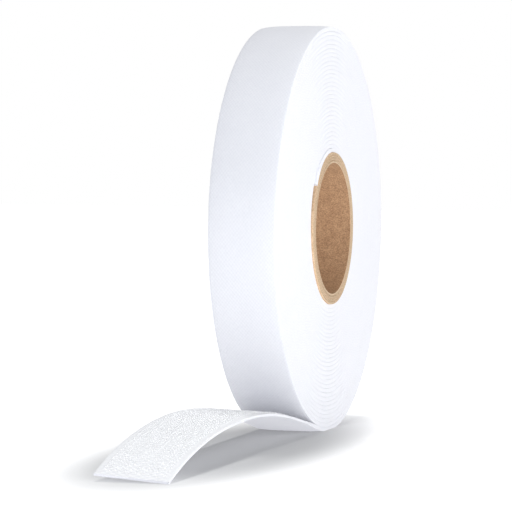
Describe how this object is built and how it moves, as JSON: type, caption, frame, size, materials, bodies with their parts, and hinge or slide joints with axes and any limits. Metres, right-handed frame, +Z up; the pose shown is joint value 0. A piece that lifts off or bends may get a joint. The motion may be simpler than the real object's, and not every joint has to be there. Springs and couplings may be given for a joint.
{
  "type": "hook tape roll",
  "caption": "Roll of white woven hook fastener tape wound hooks inwards on a paper core, standing on its rim with the free end led out flat along the bench.",
  "frame": {"origin": "on the bench under the roll's axis, half way along that axis", "axes": "+Z up, +Y along the roll's axis away from the pictured face, -X the way the free end leads out"},
  "size_m": [0.2673, 0.0264, 0.1534],
  "materials": {
    "core_liner": "matt kraft paper",
    "core_board": "matt grey-brown board with a cut edge",
    "woven_tape": "plain woven nylon",
    "hook_rows": "stiff nylon monofilament hooks",
    "adhesive_film": "double-sided film"
  },
  "bodies": {
    "roll": {"core_liner_ply": "core_liner", "core_second_ply": "core_board", "core_third_ply": "core_board", "core_wrap_ply": "core_board", "inner_end_film": "adhesive_film", "tape_winding": "woven_tape", "tail_root_ribbon": "woven_tape", "tail_root_hooks": "hook_rows"},
    "tail_middle": {"tail_middle_ribbon": "woven_tape", "tail_middle_hooks": "hook_rows"},
    "tail_tip": {"tail_tip_ribbon": "woven_tape", "tail_tip_hooks": "hook_rows"}
  },
  "joints": [
    {"name": "tail_lift", "type": "hinge", "parent": "roll", "child": "tail_middle", "pos_m": [-0.05848, 0, 0.01028], "axis": [0, 1, 0], "range_deg": [0, 60]},
    {"name": "tail_curl", "type": "hinge", "parent": "tail_middle", "child": "tail_tip", "pos_m": [-0.13459, 0, 0.01269], "axis": [0, 1, 0], "range_deg": [0, 60]}
  ]
}
